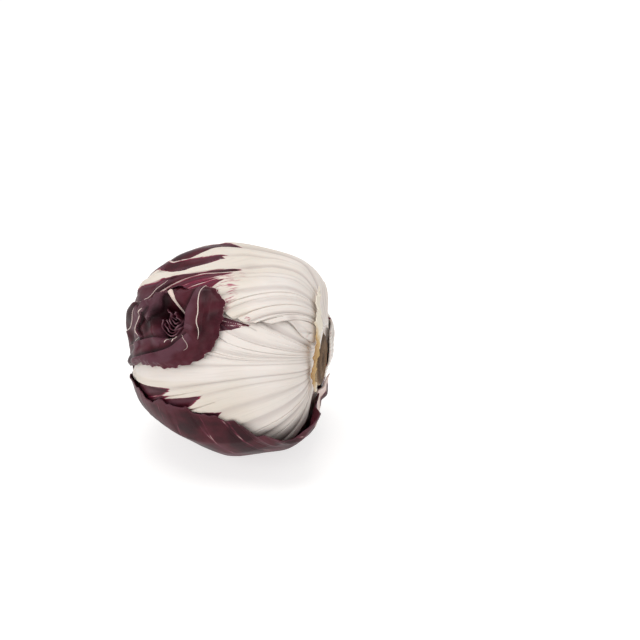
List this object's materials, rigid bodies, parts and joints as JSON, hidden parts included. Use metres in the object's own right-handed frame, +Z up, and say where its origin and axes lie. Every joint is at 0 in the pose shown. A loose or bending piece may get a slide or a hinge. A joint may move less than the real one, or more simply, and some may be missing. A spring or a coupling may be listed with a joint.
{
  "type": "radicchio head",
  "caption": "Round, tightly wrapped head of red chicory lying on its side, with wine-red leaves, broad white ribs and a short cut stem.",
  "frame": {"origin": "centre of the head's footprint, on the surface that it lies on", "axes": "+X out of the cut stem, +Z up, the crown faces -Y and up"},
  "size_m": [0.1165, 0.117, 0.1174],
  "materials": {
    "wine_leaf": "satin waxy leaf, wine red with fine pinkish veins",
    "ribbed_leaf": "smooth fleshy white ribs, wine-red blade between them near the edge",
    "cut_stem": "cut stem, cream and tan, browned by air",
    "dry_leaf": "dry, papery, tan"
  },
  "bodies": {
    "root": {"heart": "wine_leaf", "stump": "cut_stem", "leaf_back": "ribbed_leaf", "leaf_front": "ribbed_leaf", "leaf_top": "ribbed_leaf", "leaf_outer_back": "ribbed_leaf", "leaf_under": "wine_leaf", "torn_leaf_base": "dry_leaf"}
  },
  "joints": []
}
